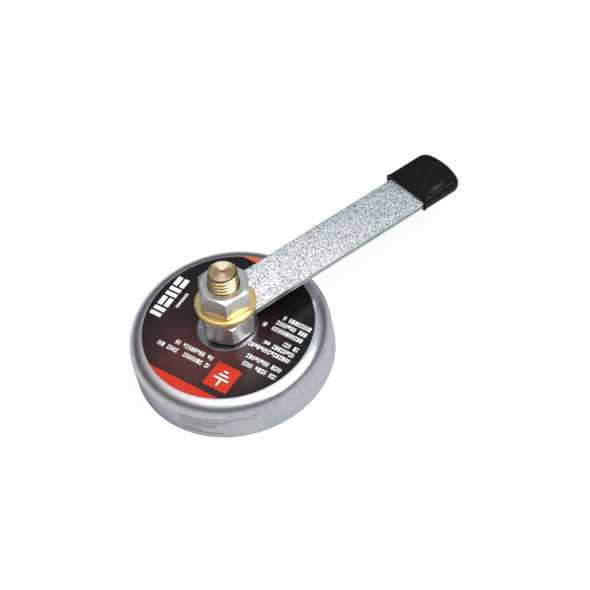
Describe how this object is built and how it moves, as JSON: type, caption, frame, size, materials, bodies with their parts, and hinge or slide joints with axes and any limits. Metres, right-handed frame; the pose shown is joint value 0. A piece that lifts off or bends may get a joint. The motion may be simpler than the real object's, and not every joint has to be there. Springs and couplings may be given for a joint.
{
  "type": "magnetic welding ground clamp",
  "caption": "Round pot-magnet welding ground clamp with a central brass contact stud, hex nuts, and a flat zinc-plated lever with a black vinyl grip.",
  "frame": {"origin": "centre of the pot magnet's work face, in the plane of the pot's rim", "axes": "+Z out of the work up through the pot; +X along the lever; the stud leans 6 degrees from +Z towards +X at rest"},
  "size_m": [0.1532, 0.08, 0.0514],
  "materials": {
    "zinc_pot": "satin bright zinc plating on drawn steel",
    "ferrite": "ground hard ferrite",
    "potting_resin": "cast resin",
    "liner_plastic": "natural nylon tube",
    "printed_label": "semi-gloss printed film",
    "foil_label": "silver-grey printed film",
    "zinc_washer": "scuffed zinc plating",
    "stud_brass": "turned brass",
    "spring_steel": "oiled spring steel",
    "zinc_nut": "bright zinc plating",
    "zinc_lever": "coarse speckled zinc plating, smooth edges",
    "black_vinyl": "glossy dipped vinyl",
    "washer_brass": "polished brass"
  },
  "bodies": {
    "magnet": {"magnet_cup": "zinc_pot", "ring_magnet": "ferrite", "potting_ring": "potting_resin", "bore_liner": "liner_plastic", "face_label": "printed_label", "side_label": "foil_label", "seat_washer": "zinc_washer"},
    "stud": {"contact_stud": "stud_brass", "disc_springs": "spring_steel", "lower_nut": "zinc_nut"},
    "lever": {"lever_bar": "zinc_lever", "grip_cap": "black_vinyl"},
    "washer": {"brass_washer": "washer_brass"},
    "nut": {"upper_nut": "zinc_nut"}
  },
  "joints": [
    {"name": "stud_rock", "type": "hinge", "parent": "magnet", "child": "stud", "pos_m": [-0.0005, -0.00085, 0.01675], "axis": [0, 1, 0], "range_deg": [-12, 0]},
    {"name": "lever_swing", "type": "hinge", "parent": "stud", "child": "lever", "pos_m": [-0.0005, -0.00085, 0.01675], "axis": [0.1045, 0, 0.9945], "continuous": true},
    {"name": "washer_lift", "type": "slide", "parent": "stud", "child": "washer", "axis": [0.1045, 0, 0.9945], "range_m": [0, 0.0158]},
    {"name": "nut_spin", "type": "hinge", "parent": "washer", "child": "nut", "pos_m": [-0.0005, -0.00085, 0.01675], "axis": [0.1045, 0, 0.9945], "range_deg": [0, 3240]}
  ],
  "couplings": [
    {"joint": "washer_lift", "follows": "nut_spin", "m_per_rad": 0.00027852}
  ]
}
